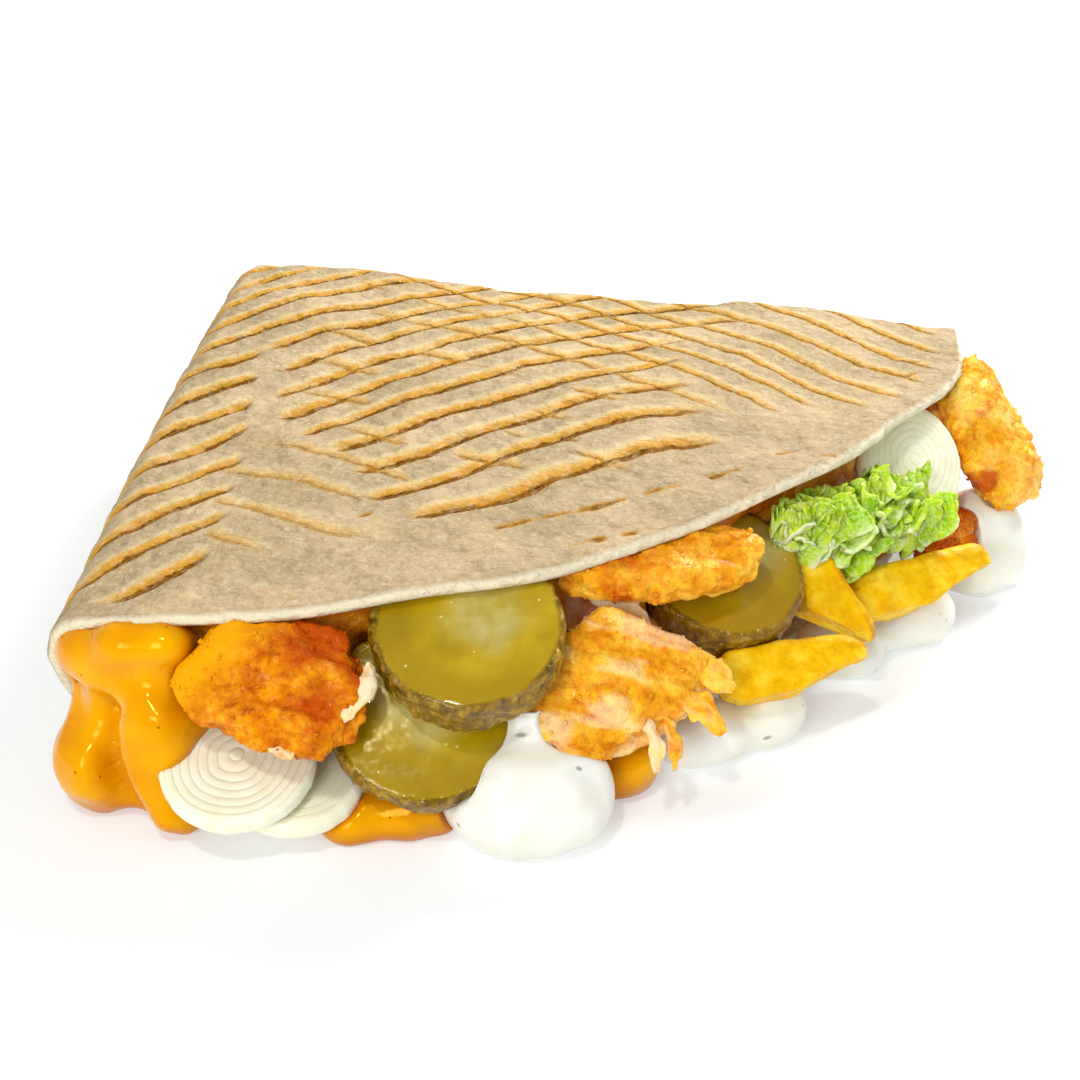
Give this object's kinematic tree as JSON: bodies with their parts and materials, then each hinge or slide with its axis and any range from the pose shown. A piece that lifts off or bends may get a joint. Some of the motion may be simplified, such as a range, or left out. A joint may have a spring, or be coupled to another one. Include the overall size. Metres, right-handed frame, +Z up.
{
  "type": "doner kebab",
  "caption": "Chicken doner kebab in a folded grilled flatbread, with pickles, onion, chips, lettuce, cheese sauce and garlic sauce spilling out of its round edge.",
  "frame": {"origin": "under the middle of the whole, on the surface that the kebab lies on", "axes": "+Z up; +X to the right along the back fold of the bread; -Y towards the open round edge, where the filling shows"},
  "size_m": [0.1914, 0.1698, 0.0491],
  "materials": {
    "bread": "floury baked flatbread with golden-brown grill marks",
    "chicken": "roasted chicken, golden orange with charred edges",
    "pickle": "wet pickled gherkin",
    "onion": "raw white onion, wet",
    "chip": "fried potato",
    "cheese_sauce": "thick glossy cheese sauce",
    "garlic_sauce": "thick white garlic sauce with herbs",
    "lettuce": "crisp wet lettuce"
  },
  "bodies": {
    "root": {"flatbread": "bread", "chicken_filling": "chicken", "chicken_left": "chicken", "chicken_middle": "chicken", "chicken_top": "chicken", "chicken_right": "chicken", "chicken_end": "chicken", "chicken_back": "chicken", "pickle_upper": "pickle", "pickle_lower": "pickle", "pickle_right": "pickle", "onion_left": "onion", "onion_left_under": "onion", "onion_right": "onion", "chip_front": "chip", "chip_right": "chip", "chip_upright": "chip", "lettuce": "lettuce", "cheese_sauce_left": "cheese_sauce", "cheese_sauce_middle": "cheese_sauce", "cheese_sauce_sliver": "cheese_sauce", "garlic_sauce_middle": "garlic_sauce", "garlic_sauce_front": "garlic_sauce", "garlic_sauce_side": "garlic_sauce", "garlic_sauce_right": "garlic_sauce"}
  },
  "joints": []
}
